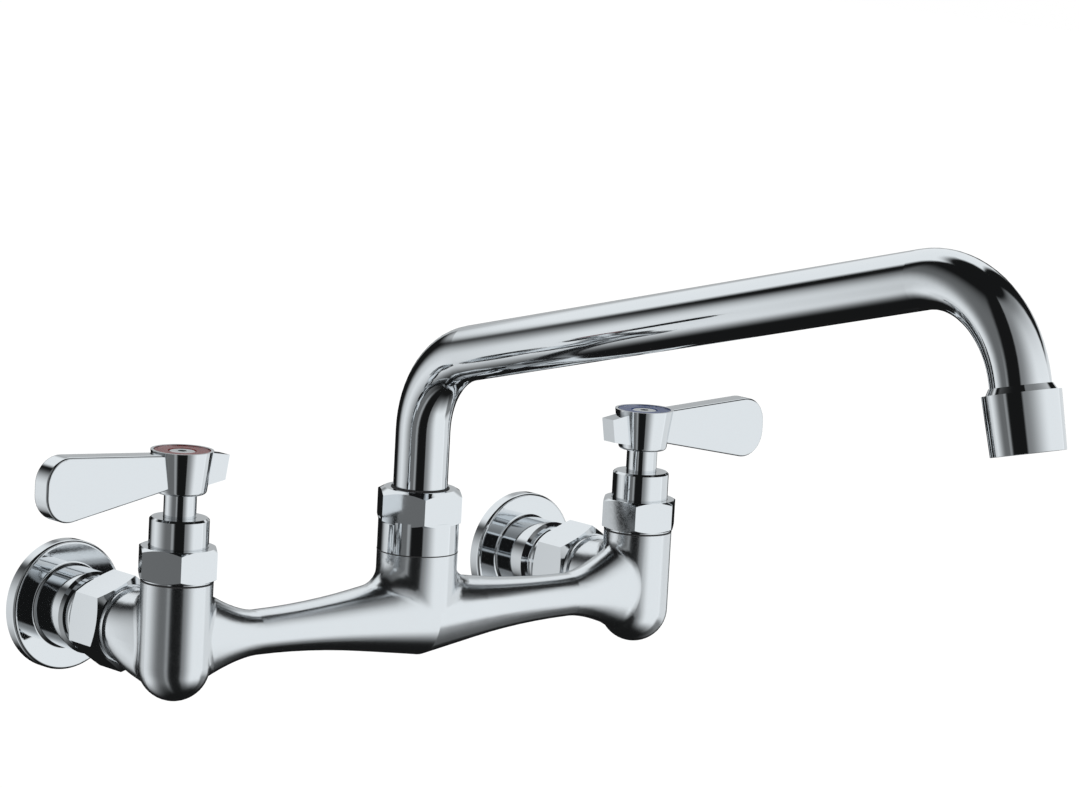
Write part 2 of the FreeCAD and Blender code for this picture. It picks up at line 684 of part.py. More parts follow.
def drill_casting(body, side):
    """Water ways of one side: neck, sloping port, chamber, seat, valve bore and arm."""
    x = tower_x(side)
    inward = -SIDES[side]
    end = "stand_off - nose_end - washer_thick"
    drilled(body, "neck_bore_" + side, "water_way", f"{end} - neck_bore_end + 1",
            x=x, y=f"{end} + 1", along=(0, -1, 0))
    drilled(body, "port_" + side, "port_radius", "port_start / cos(port_slope)",
            x=x, y="port_start", z="-port_drop", tilt="port_slope")
    drilled(body, "under_seat_" + side, "under_way", "under_depth - seat_depth - seat_web",
            x=x, z="-under_depth")
    drilled(body, "seat_hole_" + side, "seat_way", "seat_web + 2", x=x, z="-seat_depth - seat_web - 1")
    drilled(body, "valve_chamber_" + side, "valve_bore", "tower_top + tower_rise + seat_depth + 1",
            x=x, z="-seat_depth")
    drilled(body, "arm_way_" + side, "arm_bore", "inlet_centres / 2 - valve_bore + 1",
            x=f"{x} + {inward} * (valve_bore - 1)", z="arm_bore_rise - arm_drop", along=(inward, 0, 0))


def body_casting():
    body = new_body("body_casting", y="-stand_off")
    half = "cold"
    casting_tower(body, half)
    casting_arm_foot(body, half)
    solid = casting_neck(body, half)
    free_neck = f"({NECK_END} - tower_radius)"
    free_wall = f"(tower_top - {NECK_RADIUS} - neck_rise)"
    foot_blend = f"min(foot_blend; {free_neck} / 2; 0.85 * {free_wall})"
    rounded(body, "foot_blend", solid, foot_blend, lambda edge: is_foot_seam(edge, half))
    casting_neck_end(body, half)
    casting_bar(body, half)
    mirrored(body)
    solid = casting_hub(body)
    free_hub = f"(hub_top + arm_drop - bar_middle + {CONE_SLOPE} * {HUB_RADIUS})"
    rounded(body, "hub_blend", solid, f"min(hub_blend; 0.95 * {free_hub})", is_hub_seam)
    for side in SIDES:
        drill_casting(body, side)
    drilled(body, "hub_chamber", "hub_bore", "hub_top + hub_rise + hub_floor + 1", z="-hub_floor")


# Valves: one set in each tower, with local heights from the inlet axis.

def tower_at(side):
    return {"x": tower_x(side), "y": "-stand_off"}


def bonnet_nut(side):
    body = new_body("bonnet_nut_" + side, **tower_at(side))
    foot = "tower_top + bonnet_base"
    top = "tower_top + bonnet_rise"
    sketch = hexagon(new_sketch(body, "hexagon", "XY", {"z": foot}), "bonnet_flats", "bonnet_turn_" + side)
    padded(body, "nut_blank", sketch, "bonnet_rise - bonnet_base")
    corner_chamfer(body, "top_chamfer", "bonnet_flats", "bonnet_face", top, "XZ", "-")
    corner_chamfer(body, "foot_chamfer", "bonnet_flats", "bonnet_face", foot, "XZ", "+")
    round_blank(body, "nut_foot", "bonnet_foot", "tower_top", foot + " + 1")
    turned(body, "nut_bore", [
        ("0", "tower_top - 1"),
        ("tower_thread + thread_gap", "tower_top - 1"),
        ("tower_thread + thread_gap", top + " - bonnet_lip"),
        ("sleeve_radius + thread_gap", top + " - bonnet_lip"),
        ("sleeve_radius + thread_gap", top + " + 1"),
        ("0", top + " + 1"),
    ], cut=True)


def bonnet_washer(side):
    low = "tower_top + tower_rise"
    high = low + " + bonnet_washer"
    ring("bonnet_washer_" + side, "valve_bore", "tower_thread", low, high, **tower_at(side))


def polar(radius, angle):
    return f"({radius}) * cos({angle})", f"({radius}) * sin({angle})"


def stop_sector(sketch, inner, outer, first, last):
    """A sector of a ring between two angles, less than half a turn apart."""
    return outline(sketch, [
        polar(inner, first),
        (*polar(outer, first), outer),
        polar(outer, last),
        (*polar(inner, last), f"-({inner})"),
    ])


def cartridge_housing(side):
    body = new_body("cartridge_housing_" + side, **tower_at(side))
    flange = "tower_top + tower_rise + bonnet_washer"
    solid = turned(body, "housing_turned", [
        ("skirt_bore", "skirt_bottom"),
        ("skirt_radius", "skirt_bottom"),
        ("skirt_radius", "skirt_top"),
        ("housing_radius", "skirt_top"),
        ("housing_radius", flange),
        ("housing_flange_radius", flange),
        ("housing_flange_radius", flange + " + housing_flange"),
        ("sleeve_radius", flange + " + housing_flange"),
        ("sleeve_radius", "sleeve_top"),
        ("stem_radius + slip_gap", "sleeve_top"),
        ("stem_radius + slip_gap", "guide_foot"),
        ("skirt_bore", "guide_foot"),
    ])
    rounded(body, "sleeve_chamfer", solid, "sleeve_edge",
            lambda edge: is_circle(edge, "sleeve_radius", "sleeve_top"), "Chamfer")
    height = "window_high - window_low"
    block(body, "windows", "Subtractive", "2 * skirt_radius + 2", "window_width", height, "window_low")
    lug = new_sketch(body, "lug_outline", "XY", {"z": foot_low() + " + face_gap"})
    middle_wall = "(skirt_bore + skirt_radius) / 2"
    stop_sector(lug, "lug_radius", middle_wall, "90 - lug_width / 2", "90 + lug_width / 2")
    padded(body, "stop_lug", lug, "foot_thick - 2 * face_gap")


def fixed_disc_low():
    return "gasket_thick - seat_depth"


def turning_disc_low():
    return fixed_disc_low() + " + disc_thick + face_gap"


def foot_low():
    return turning_disc_low() + " + disc_thick + face_gap"


def disc_holes(body, low, across):
    """Two holes through a disc: side by side if across, else one behind the other."""
    for index, sign in enumerate((-1, 1), start=1):
        out = f"{sign} * disc_hole_out"
        x, y = (out, "0") if across else ("0", out)
        drilled(body, f"way_{index}", "disc_hole", "disc_thick + 2", x=x, y=y, z=low + " - 1")


def seat_gasket(side):
    where = tower_at(side)
    ring("seat_gasket_" + side, "seat_way", "gasket_radius", "-seat_depth", fixed_disc_low(), **where)


def fixed_disc(side):
    body = new_body("fixed_disc_" + side, **tower_at(side))
    low = fixed_disc_low()
    round_blank(body, "disc", "disc_radius", low, low + " + disc_thick")
    disc_holes(body, low, across=False)


def turning_disc(side):
    body = new_body("turning_disc_" + side, **tower_at(side))
    low = turning_disc_low()
    round_blank(body, "disc", "disc_radius", low, low + " + disc_thick")
    disc_holes(body, low, across=True)
    width = "tongue_width + 2 * face_gap"
    floor = low + " + disc_thick - tongue_depth"
    block(body, "slot", "Subtractive", "2 * disc_radius + 2", width, "tongue_depth + 2", floor)


def valve_stem(side):
    body = new_body("valve_stem_" + side, **tower_at(side))
    low = foot_low()
    groove = "stem_radius - 2 * stem_ring"
    high_ring = "stem_ring_low + stem_ring_pitch"
    turned(body, "stem_turned", [
        ("0", low),
        ("foot_radius", low),
        ("foot_radius", low + " + foot_thick"),
        ("stem_radius", low + " + foot_thick"),
        ("stem_radius", "stem_ring_low - stem_ring"),
        (groove, "stem_ring_low - stem_ring"),
        (groove, "stem_ring_low + stem_ring"),
        ("stem_radius", "stem_ring_low + stem_ring"),
        ("stem_radius", high_ring + " - stem_ring"),
        (groove, high_ring + " - stem_ring"),
        (groove, high_ring + " + stem_ring"),
        ("stem_radius", high_ring + " + stem_ring"),
        ("stem_radius", "hub_foot"),
        ("0", "hub_foot"),
    ])
    square_height = "drive_top - hub_foot + 1"
    block(body, "square", "Additive", "drive_square", "drive_square", square_height, "hub_foot - 1")
    tongue_height = "tongue_depth + face_gap + 1"
    block(body, "tongue", "Additive", "2 * foot_radius - 2", "tongue_width", tongue_height,
          low + " - tongue_depth")
    stop_cut(body, side, low)
    drilled(body, "screw_hole", "screw_radius + thread_gap", "screw_length + 2",
            z="drive_top - screw_length - 1")


def stop_cut(body, side, low):
    """Cut a sector of the stem's foot, in which the housing's lug stops the handle's turn."""
    first, last = ("0", "turn") if side == "hot" else ("turn", "2 * turn")
    play = "(lug_width / 2 + stop_gap)"
    sector = new_sketch(body, "stop_outline", "XY", {"z": low + " - 1"})
    stop_sector(sector, "lug_radius - face_gap", "foot_radius + 1", f"{first} - {play}", f"{last} + {play}")
    padded(body, "stop_cut", sector, "foot_thick + 1", cut=True, backwards=True)


def stem_washer(side):
    low = foot_low() + " + foot_thick"
    high = low + " + stem_washer"
    ring("stem_washer_" + side, "stem_radius + slip_gap", "foot_radius", low, high, **tower_at(side))


def stem_rings(side):
    centre = "stem_radius - stem_ring + slip_gap / 2"
    levels = ["stem_ring_low", "stem_ring_low + stem_ring_pitch"]
    sealing_rings("stem_rings_" + side, centre, "stem_ring", levels, tower_x(side), "-stand_off")


# Handles: each lever points away from the middle when its valve is shut.

def mirrored_x(side, text):
    return text if side == "cold" else f"-({text})"


def lever_blade(body, side):
    """Flat blade, wider at its tip, and its two rounded corners."""
    sketch = outline(new_sketch(body, "blade_outline", "XZ"), [
        (mirrored_x(side, "blade_root"), "root_low"),
        (mirrored_x(side, "lever_reach"), "tip_low"),
        (mirrored_x(side, "lever_reach"), "tip_high"),
        (mirrored_x(side, "blade_root"), "root_high"),
    ])
    solid = padded(body, "blade", sketch, "blade_thick", both=True)
    solid = rounded(body, "blade_tip", solid, "tip_round", is_tip_corner)
    return rounded(body, "blade_edges", solid, "blade_edge", is_blade_rim)


def is_tip_corner(edge):
    """A corner of the blade's tip, which runs through its thickness."""
    box = edge.BoundBox
    at_tip = abs(abs(box.Center.x) - number("lever_reach")) < CLOSE
    return at_tip and box.YLength > CLOSE and box.ZLength < CLOSE


def is_blade_rim(edge):
    """An edge around either face of the blade, outside the hub."""
    box = edge.BoundBox
    on_face = abs(abs(box.Center.y) - number("blade_thick / 2")) < CLOSE and box.YLength < CLOSE
    return on_face and abs(box.Center.x) > number("hub_rim_radius") + 1


def lever_stub(body, side):
    """Short stub across the hub from the blade."""
    sketch = outline(new_sketch(body, "stub_outline", "XZ"), [
        (mirrored_x(side, "-blade_root"), "root_low"),
        (mirrored_x(side, "stub_cut - stub_reach"), "stub_low"),
        (mirrored_x(side, "-stub_reach"), "stub_high"),
        (mirrored_x(side, "-blade_root"), "root_high"),
    ])
    return padded(body, "stub", sketch, "blade_thick - 2 * blade_edge", both=True)


def lever(side):
    body = new_body("lever_" + side, **tower_at(side))
    foot = "hub_foot + face_gap"
    corners = [("0", foot), ("hub_foot_radius", foot), ("hub_rim_radius", "hub_rim"), ("0", "hub_rim")]
    solid = turned(body, "hub", corners)
    rounded(body, "hub_round", solid, "hub_round", lambda edge: is_circle(edge, "hub_foot_radius", foot))
    lever_blade(body, side)
    lever_stub(body, side)
    turned(body, "hub_recess", [
        ("0", "hub_foot"),
        ("screw_radius + thread_gap", "hub_foot"),
        ("screw_radius + thread_gap", "hub_seat"),
        ("screw_head + thread_gap", "hub_seat"),
        ("screw_head + thread_gap", "hub_rim - recess_depth"),
        ("recess_radius", "hub_rim - recess_depth"),
        ("recess_radius", "hub_rim + 1"),
        ("0", "hub_rim + 1"),
    ], cut=True)
    side_length = "drive_square + 2 * drive_play"
    height = "drive_top + face_gap - hub_foot + 1"
    block(body, "socket", "Subtractive", side_length, side_length, height, "hub_foot - 1")


def index_ring(side):
    low = "hub_rim - recess_depth"
    high = low + " + index_thick"
    ring("index_ring_" + side, "screw_head + thread_gap", "recess_radius - thread_gap", low, high,
         **tower_at(side))


def handle_screw(side):
    body = new_body("handle_screw_" + side, **tower_at(side))
    solid = turned(body, "screw_turned", [
        ("0", "drive_top - screw_length"),
        ("screw_radius", "drive_top - screw_length"),
        ("screw_radius", "hub_seat"),
        ("screw_head", "hub_seat"),
        ("screw_head", "hub_seat + screw_head_thick"),
        ("0", "hub_seat + screw_head_thick"),
    ])
    rounded(body, "head_edge", solid, "screw_edge",
            lambda edge: is_circle(edge, "screw_head", "hub_seat + screw_head_thick"))
    sketch = new_sketch(body, "socket_outline", "XY", {"z": "hub_seat + screw_head_thick"})
    hexagon(sketch, "2 * screw_socket * cos(30)", "0")
    padded(body, "socket", sketch, "socket_depth", cut=True)


# Spout and its bearing in the middle tower.

SPOUT_AT = {"y": "-stand_off"}


def spout_nut():
    body = new_body("spout_nut", **SPOUT_AT)
    sketch = new_sketch(body, "hexagon", "XY", {"z": "nut_skirt_top"})
    hexagon(sketch, "spout_nut_flats", "nut_turn")
    padded(body, "nut_blank", sketch, "nut_top - nut_skirt_top")
    corner_chamfer(body, "top_chamfer", "spout_nut_flats", "nut_face", "nut_top", "XZ", "-")
    corner_chamfer(body, "foot_chamfer", "spout_nut_flats", HUB_RADIUS, "nut_skirt_top", "XZ", "+")
    round_blank(body, "skirt", HUB_RADIUS, "hub_top", "nut_skirt_top + 1")
    turned(body, "nut_bore", [
        ("0", "hub_top - 1"),
        ("hub_thread + thread_gap", "hub_top - 1"),
        ("hub_thread + thread_gap", "nut_top - nut_lip"),
        ("tube_radius + 3 * thread_gap", "nut_top - nut_lip"),
        ("tube_radius + 3 * thread_gap", "nut_top + 1"),
        ("0", "nut_top + 1"),
    ], cut=True)


def flange_low():
    return "hub_top + hub_rise + thrust_thick + face_gap"


def thrust_ring():
    low = "hub_top + hub_rise"
    ring("thrust_ring", "hub_bore", "hub_thread", low, low + " + thrust_thick", **SPOUT_AT)


def swivel_bushing():
    low = flange_low() + " + tail_flange_thick + face_gap"
    ring("swivel_bushing", "tube_radius + slip_gap", "hub_thread", low, "nut_top - nut_lip", **SPOUT_AT)


def spout_tail():
    body = new_body("spout_tail", **SPOUT_AT)
    outside = "hub_bore - slip_gap"
    groove = outside + " - 2 * tail_ring"
    high_ring = "tail_ring_low + tail_ring_pitch"
    turned(body, "tail_turned", [
        ("tail_way", "tail_foot"),
        (outside, "tail_foot"),
        (outside, "tail_ring_low - tail_ring"),
        (groove, "tail_ring_low - tail_ring"),
        (groove, "tail_ring_low + tail_ring"),
        (outside, "tail_ring_low + tail_ring"),
        (outside, high_ring + " - tail_ring"),
        (groove, high_ring + " - tail_ring"),
        (groove, high_ring + " + tail_ring"),
        (outside, high_ring + " + tail_ring"),
        (outside, flange_low()),
        ("tail_flange", flange_low()),
        ("tail_flange", flange_low() + " + tail_flange_thick"),
        ("tube_radius", flange_low() + " + tail_flange_thick"),
        ("tube_radius", "tube_foot"),
        ("tail_way", "tube_foot"),
    ])


def spout_rings():
    centre = "hub_bore - tail_ring - slip_gap / 2"
    levels = ["tail_ring_low", "tail_ring_low + tail_ring_pitch"]
    sealing_rings("spout_rings", centre, "tail_ring", levels, "0", "-stand_off")


def spout_corner():
    """The last bend's corner, as sums for Y and Z from the spout's axis."""
    return "-spout_run * cos(spout_rise)", "spout_height + spout_run * sin(spout_rise)"


def below_corner(distance):
    """A point that far down the outlet's axis from the last bend's corner."""
    y, z = spout_corner()
    return f"{y} - ({distance}) * sin(spout_rise)", f"{z} - ({distance}) * cos(spout_rise)"


def spout_path(body):
    """Centre line: riser, first bend, sloping run, last bend, straight end."""
    tangent = "first_bend * tan((90 - spout_rise) / 2)"
    corner_y, corner_z = spout_corner()
    return outline(new_sketch(body, "centre_line", "YZ"), [
        ("0", "tube_foot"),
        ("0", f"spout_height - {tangent}", "first_bend"),
        (f"-{tangent} * cos(spout_rise)", f"spout_height + {tangent} * sin(spout_rise)"),
        (f"{corner_y} + last_bend * cos(spout_rise)", f"{corner_z} - last_bend * sin(spout_rise)",
         "last_bend"),
        below_corner("last_bend"),
        below_corner("last_bend + drop_length"),
    ], closed=False)


def spout_tube():
    body = new_body("spout_tube", **SPOUT_AT)
    path = spout_path(body)
    section = new_sketch(body, "section", "XY", {"z": "tube_foot"})
    circle(section, "0", "0", "tube_radius")
    circle(section, "0", "0", "tube_radius - tube_wall")
    pipe = body.newObject("PartDesign::AdditivePipe", "tube")
    pipe.Profile = section
    pipe.Spine = path
    doc.recompute()
    length = sum(edge.Length for edge in path.Shape.Edges)
    area = math.pi * number("tube_radius^2 - (tube_radius - tube_wall)^2")
    print(f"spout tube: volume {body.Shape.Volume:.0f}, section times length {area * length:.0f} mm3")


# Outlet: heights are measured from the aerator's top face, with its axis along the tube's end.

def outlet_at():
    y, z = below_corner("last_bend + drop_length - adapter_length")
    return {"y": f"-stand_off + ({y})", "z": z, "tilt": "-spout_rise"}


def outlet_adapter():
    body = new_body("outlet_adapter", **outlet_at())
    turned(body, "adapter_turned", [
        ("tube_radius", "-adapter_length"),
        ("adapter_radius", "-adapter_length"),
        ("adapter_radius", "0"),
        ("tube_radius + adapter_land", "adapter_fillet"),
        ("tube_radius", "adapter_fillet"),
    ])


def aerator_housing():
    body = new_body("aerator_housing", **outlet_at())
    turned(body, "housing_turned", [
        ("adapter_radius + thread_gap", "0"),
        ("aerator_top", "0"),
        ("aerator_foot", "-aerator_length"),
        ("aerator_mouth", "-aerator_length"),
        ("aerator_mouth", "aerator_lip - aerator_length"),
        ("insert_radius + thread_gap", "aerator_lip - aerator_length"),
        ("insert_radius + thread_gap", "-adapter_length - seal_thick"),
        ("adapter_radius + thread_gap", "-adapter_length - seal_thick"),
    ])


def aerator_washer():
    ring("aerator_washer", "tube_radius - tube_wall", "adapter_radius", "-adapter_length - seal_thick",
         "-adapter_length", **outlet_at())


def aerator_insert():
    body = new_body("aerator_insert", **outlet_at())
    low = "-adapter_length - seal_thick - insert_thick"
    round_blank(body, "insert_blank", "insert_radius", low, low + " + insert_thick")
    hole = drilled(body, "insert_way", "insert_hole", "insert_thick + 2", x="insert_circle", z=low + " - 1")
    pattern = body.newObject("PartDesign::PolarPattern", "insert_ways")
    pattern.Originals = [hole]
    pattern.Axis = (origin_item(body, "Z_Axis"), [""])
    pattern.Angle = 360
    pattern.setExpression("Occurrences", bound("insert_holes"))
    body.Tip = pattern
    doc.recompute()


def aerator_screen():
    body = new_body("aerator_screen", **outlet_at())
    low = "aerator_lip - aerator_length"
    round_blank(body, "screen_blank", "insert_radius", low, low + " + screen_thick")
    for index in range(5):
        screen_slot(body, index + 1, f"{index - 2} * screen_pitch", low)


def screen_slot(body, index, offset, low):
    """One slot of the screen, as long as the round mouth lets it be."""
    half = f"sqrt((aerator_mouth - 1)^2 - (abs({offset}) + screen_slot / 2)^2)"
    left, right = f"{offset} - screen_slot / 2", f"{offset} + screen_slot / 2"
    slot = new_sketch(body, f"slot_outline_{index}", "XY", {"z": low + " + screen_thick"})
    outline(slot, [(left, f"-({half})"), (right, f"-({half})"), (right, half), (left, half)])
    padded(body, f"slot_{index}", slot, "screen_thick + 1", cut=True)


def check_and_save():
    """Stop on a failed object or a bad shape, then write one file for each piece."""
    failed = [item.Name for item in doc.Objects if {"Invalid", "Error"} & set(item.State)]
    if failed:
        raise RuntimeError("failed objects: " + ", ".join(failed))
    for piece in pieces:
        if piece.Shape.isNull() or not piece.Shape.isValid():
            raise RuntimeError("bad shape: " + piece.Label)
    os.makedirs("parts", exist_ok=True)
    for piece in pieces:
        piece.Shape.exportStep(f"parts/{piece.Label}.step")
        print(f"{piece.Label}: {len(piece.Shape.Solids)} solid, {piece.Shape.Volume:.0f} mm3")


def one_side(side):
    for make in (inlet_flange, union_nut, union_washer, neck_ring):
        make(side)
    for make in (bonnet_nut, bonnet_washer, cartridge_housing, seat_gasket, fixed_disc, turning_disc):
        make(side)
    for make in (valve_stem, stem_washer, stem_rings, lever, index_ring, handle_screw):
        make(side)


def main():
    fill_sheet()
    body_casting()
    for side in SIDES:
        one_side(side)
    for make in (spout_nut, thrust_ring, swivel_bushing, spout_tail, spout_rings, spout_tube):
        make()
    for make in (outlet_adapter, aerator_housing, aerator_washer, aerator_insert, aerator_screen):
        make()
    check_and_save()


main()
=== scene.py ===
"""A wall-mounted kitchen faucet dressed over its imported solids: finishes, fittings, studio and camera."""

import math
import bmesh
import bpy
from mathutils import Matrix, Vector


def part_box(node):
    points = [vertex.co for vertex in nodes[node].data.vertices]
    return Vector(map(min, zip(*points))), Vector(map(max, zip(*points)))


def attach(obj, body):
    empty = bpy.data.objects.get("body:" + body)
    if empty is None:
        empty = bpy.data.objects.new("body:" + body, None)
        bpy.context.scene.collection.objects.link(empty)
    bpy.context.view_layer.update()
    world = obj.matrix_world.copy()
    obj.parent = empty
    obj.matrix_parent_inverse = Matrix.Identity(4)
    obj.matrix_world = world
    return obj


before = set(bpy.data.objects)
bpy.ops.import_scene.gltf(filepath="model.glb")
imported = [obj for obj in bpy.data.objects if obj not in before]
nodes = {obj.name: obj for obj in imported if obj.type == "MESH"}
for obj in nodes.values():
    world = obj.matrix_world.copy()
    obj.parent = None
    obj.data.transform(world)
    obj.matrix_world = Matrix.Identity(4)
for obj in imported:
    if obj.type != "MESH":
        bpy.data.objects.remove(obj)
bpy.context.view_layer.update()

MM = 0.001


# Inlet flanges: cast brass discs with a turned boss and a threaded nose, screwed on the wall pipes.
# They are buffed and plated with bright chrome, which keeps a very fine haze from the buffing wheel.
# The boss is tapped for the pipe behind, and the nose carries the thread of the union nut.

# Lengths in the tables are millimetres. A thread whose ridge points inwards has a height below nought.
# The corners of a ridge's rib are RIB_CORNER pitches from its middle, and the whole rib is RIB_TALL times that
# tall before it is pressed flat. Its middle lies RIB_SEAT heights beyond the thread's radius.
SIDES = ("hot", "cold")
CHROME = (0.775, 0.800, 0.822, 1.0)
NOSE_THREAD = {"radius": 12.28, "height": 0.34, "start": -20.1, "end": -24.9, "pitch": 1.81}
PIPE_THREAD = {"radius": 9.17, "height": -0.42, "start": -0.9, "end": -14.2, "pitch": 1.81}
RIB_CORNER = 0.45
RIB_TALL = 1.5
RIB_SEAT = 0.2
TURN_STEPS = 72
MERGE_DISTANCE = 1e-7


def node_of(tree, kind, **inputs):
    """Adds one shader node and sets its named inputs."""
    made = tree.nodes.new(kind)
    for name, value in inputs.items():
        made.inputs[name.replace("_", " ")].default_value = value
    return made


def new_group(name, inputs, outputs):
    """An empty shader group with named inputs, given as name to default value, and named outputs."""
    group = bpy.data.node_groups.new(name, "ShaderNodeTree")
    for label, value in inputs.items():
        socket = group.interface.new_socket(label, in_out="INPUT", socket_type="NodeSocketFloat")
        socket.default_value = value
    for label in outputs:
        group.interface.new_socket(label, in_out="OUTPUT", socket_type="NodeSocketFloat")
    return group, group.nodes.new("NodeGroupInput"), group.nodes.new("NodeGroupOutput")


def polish_group():
    """Buffing haze, water marks and the faint waves of a polished casting, as a share from 0 to 1."""
    group, enter, leave = new_group(
        "polish", {"Grain Scale": 900.0, "Mark Scale": 60.0, "Wave Scale": 40.0}, ["Haze", "Marks", "Waves"]
    )
    place = group.nodes.new("ShaderNodeTexCoord")
    grain = node_of(group, "ShaderNodeTexNoise", Detail=4.0, Roughness=0.65)
    marks = node_of(group, "ShaderNodeTexNoise", Detail=3.0, Roughness=0.55)
    waves = node_of(group, "ShaderNodeTexNoise", Detail=1.0, Roughness=0.4)
    limit = node_of(group, "ShaderNodeMapRange", From_Min=0.52, From_Max=0.72)
    limit.interpolation_type = "SMOOTHSTEP"
    for texture, scale in ((grain, "Grain Scale"), (marks, "Mark Scale"), (waves, "Wave Scale")):
        group.links.new(place.outputs["Object"], texture.inputs["Vector"])
        group.links.new(enter.outputs[scale], texture.inputs["Scale"])
    group.links.new(marks.outputs["Fac"], limit.inputs["Value"])
    group.links.new(grain.outputs["Fac"], leave.inputs["Haze"])
    group.links.new(limit.outputs["Result"], leave.inputs["Marks"])
    group.links.new(waves.outputs["Fac"], leave.inputs["Waves"])
    return group


polish = polish_group()


def new_material(name):
    """A new material, its node tree and its Principled shader."""
    material = bpy.data.materials.new(name)
    material.use_nodes = True
    return material, material.node_tree, material.node_tree.nodes["Principled BSDF"]


def group_of(tree, group, **inputs):
    """Places a shader group in a material and sets its named inputs."""
    placed = tree.nodes.new("ShaderNodeGroup")
    placed.node_tree = group
    for name, value in inputs.items():
        placed.inputs[name.replace("_", " ")].default_value = value
    return placed


def spread(tree, noise, least, most):
    """Spreads a noise, which lies nearly all between 0.3 and 0.7, over a range of roughness."""
    made = node_of(tree, "ShaderNodeMapRange", From_Min=0.3, From_Max=0.7, To_Min=least, To_Max=most)
    tree.links.new(noise, made.inputs["Value"])
    return made.outputs["Result"]


def add_relief(tree, shader, height, strength, distance):
    """Bends a shader's normal by the slopes of a height."""
    bump = node_of(tree, "ShaderNodeBump", Strength=strength, Distance=distance)
    tree.links.new(height, bump.inputs["Height"])
    tree.links.new(bump.outputs["Normal"], shader.inputs["Normal"])


def chrome_finish(name, roughness, haze, wave_height, wave_scale):
    """Bright chrome plate: a mirror with a little haze, dull where water has dried, over gentle waves."""
    material, tree, shader = new_material(name)
    shader.inputs["Base Color"].default_value = CHROME
    shader.inputs["Metallic"].default_value = 1.0
    surface = group_of(tree, polish, Wave_Scale=wave_scale)
    rough = spread(tree, surface.outputs["Haze"], roughness, roughness + haze)
    dull = tree.nodes.new("ShaderNodeMath")
    dull.operation = "MULTIPLY_ADD"
    dull.inputs[1].default_value = haze
    tree.links.new(surface.outputs["Marks"], dull.inputs[0])
    tree.links.new(rough, dull.inputs[2])
    tree.links.new(dull.outputs["Value"], shader.inputs["Roughness"])
    add_relief(tree, shader, surface.outputs["Waves"], strength=1.0, distance=wave_height)
    return material


def finish(material, *names):
    """Gives the named solids one finish."""
    for name in names:
        nodes[name].data.materials.clear()
        nodes[name].data.materials.append(material)


def add_piece(name, mesh, material, body):
    """Closes a bmesh into an object of the faucet with its finish and the body it rides on."""
    bmesh.ops.remove_doubles(mesh, verts=mesh.verts, dist=MERGE_DISTANCE)
    bmesh.ops.recalc_face_normals(mesh, faces=mesh.faces)
    data = bpy.data.meshes.new(name)
    mesh.to_mesh(data)
    mesh.free()
    piece = bpy.data.objects.new(name, data)
    bpy.context.scene.collection.objects.link(piece)
    data.materials.append(material)
    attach(piece, body)
    return piece


def turn_mesh(mesh, degrees, axis):
    """Turns a whole bmesh about an axis through the origin."""
    turn = Matrix.Rotation(math.radians(degrees), 3, axis)
    bmesh.ops.rotate(mesh, verts=mesh.verts, cent=(0.0, 0.0, 0.0), matrix=turn)


def middle_of(box):
    """The middle of a box that is given by its two corners."""
    return Vector([(low + high) / 2 for low, high in zip(*box)])


def thread_ridge(middle, radius, height, start, end, pitch):
    """The ridge of a thread about an axis along Y through middle: a three-cornered rib spun with a rise."""
    rib = bmesh.new()
    corner = RIB_CORNER * pitch
    bmesh.ops.create_circle(rib, cap_ends=True, segments=3, radius=corner * MM)
    turn_mesh(rib, -90.0, "Z")
    bmesh.ops.scale(rib, verts=rib.verts, vec=(height / (RIB_TALL * corner), 1.0, 1.0))
    at = Vector((middle.x + (radius + RIB_SEAT * height) * MM, start * MM, middle.z))
    bmesh.ops.translate(rib, verts=rib.verts, vec=at)
    turns = abs(end - start) / pitch
    steps = round(turns * TURN_STEPS)
    rise = Vector((0.0, (end - start) / steps * MM, 0.0))
    bmesh.ops.spin(
        rib, geom=rib.verts[:] + rib.edges[:] + rib.faces[:], cent=(middle.x, 0.0, middle.z),
        axis=(0.0, 1.0, 0.0), dvec=rise, angle=turns * math.tau, steps=steps,
        use_merge=False, use_duplicate=False,
    )
    return rib


turned_chrome = chrome_finish(
    "chrome_turned", roughness=0.035, haze=0.03, wave_height=0.00002, wave_scale=45.0
)
finish(turned_chrome, "inlet_flange_hot", "inlet_flange_cold")


def speckle_group():
    """Fine grains and shallow pits, for what is pressed, moulded, drawn or left as cut."""
    group, enter, leave = new_group("speckle", {"Grain Scale": 700.0, "Pit Scale": 160.0}, ["Grain", "Pits"])
    place = group.nodes.new("ShaderNodeTexCoord")
    grain = node_of(group, "ShaderNodeTexNoise", Detail=5.0, Roughness=0.6)
    pits = group.nodes.new("ShaderNodeTexVoronoi")
    depth = node_of(group, "ShaderNodeMapRange", From_Min=0.0, From_Max=0.45)
    depth.interpolation_type = "SMOOTHSTEP"
    for texture, scale in ((grain, "Grain Scale"), (pits, "Pit Scale")):
        group.links.new(place.outputs["Object"], texture.inputs["Vector"])
        group.links.new(enter.outputs[scale], texture.inputs["Scale"])
    group.links.new(pits.outputs["Distance"], depth.inputs["Value"])
    group.links.new(grain.outputs["Fac"], leave.inputs["Grain"])
    group.links.new(depth.outputs["Result"], leave.inputs["Pits"])
    return group


speckle = speckle_group()


def mix_colours(tree, share, dark, light):
    """A colour from dark to light by a share. A Mix node takes its colours at sockets 6 and 7."""
    tone = tree.nodes.new("ShaderNodeMix")
    tone.data_type = "RGBA"
    tone.inputs[6].default_value = dark
    tone.inputs[7].default_value = light
    tree.links.new(share, tone.inputs[0])
    return tone.outputs[2]


